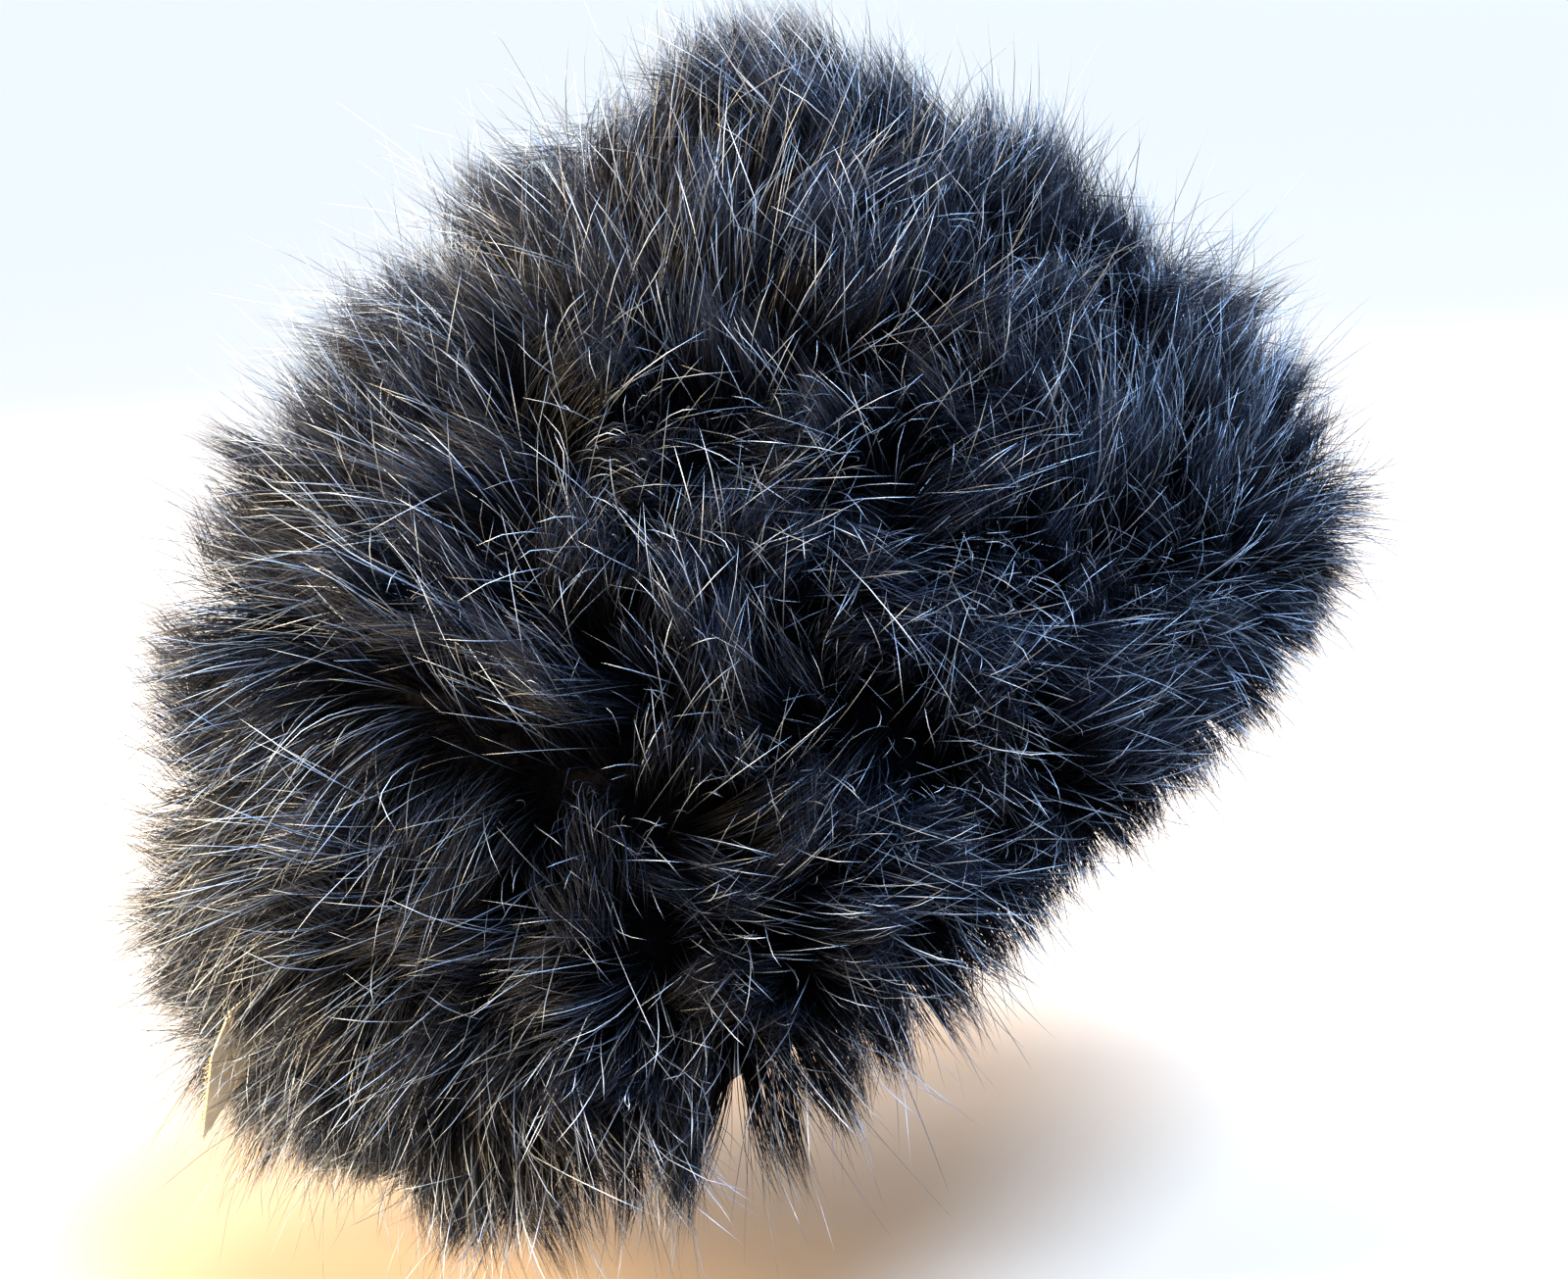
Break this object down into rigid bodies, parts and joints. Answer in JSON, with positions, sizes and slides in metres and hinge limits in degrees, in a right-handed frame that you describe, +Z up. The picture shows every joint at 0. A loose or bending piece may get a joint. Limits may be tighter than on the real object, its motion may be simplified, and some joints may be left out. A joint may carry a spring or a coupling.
{
  "type": "furry windscreen",
  "caption": "Long-pile fur hood that shields a dummy head's ear microphones from wind, lined and padded, with one tilted elastic mouth from brow to nape and a swinging label.",
  "frame": {"origin": "highest point of the lining inside the crown, where the head seats", "axes": "+Z up out of the crown, -Y towards the brow and the open face, +X towards the wearer's left"},
  "size_m": [0.2198, 0.2813, 0.2261],
  "materials": {
    "fur": "matte",
    "lining": "matte",
    "pad": "matte",
    "tape": "matte",
    "elastic": "matte",
    "label": "matte",
    "thread": "matte"
  },
  "bodies": {
    "hood": {"fur_crown": "fur", "fur_left_front": "fur", "fur_left_side": "fur", "fur_left_rear": "fur", "fur_right_rear": "fur", "fur_right_side": "fur", "fur_right_front": "fur", "lining_crown": "lining", "lining_left_front": "lining", "lining_left_rear": "lining", "lining_right_rear": "lining", "lining_right_front": "lining", "crown_patch": "tape", "crown_pad": "pad", "brow_pad": "pad", "left_pad": "pad", "nape_pad": "pad", "right_pad": "pad", "seam_tape_brow": "tape", "seam_tape_left_front": "tape", "seam_tape_left_rear": "tape", "seam_tape_nape": "tape", "seam_tape_right_rear": "tape", "seam_tape_right_front": "tape", "mouth_casing": "tape", "mouth_elastic": "elastic", "label_root": "label", "label_stitch": "thread"},
    "label": {"label_flap": "label"}
  },
  "joints": [
    {"name": "label_swing", "type": "hinge", "parent": "hood", "child": "label", "pos_m": [0, 0.13917, -0.15], "axis": [0, 0, 1], "range_deg": [-75, 75]}
  ]
}
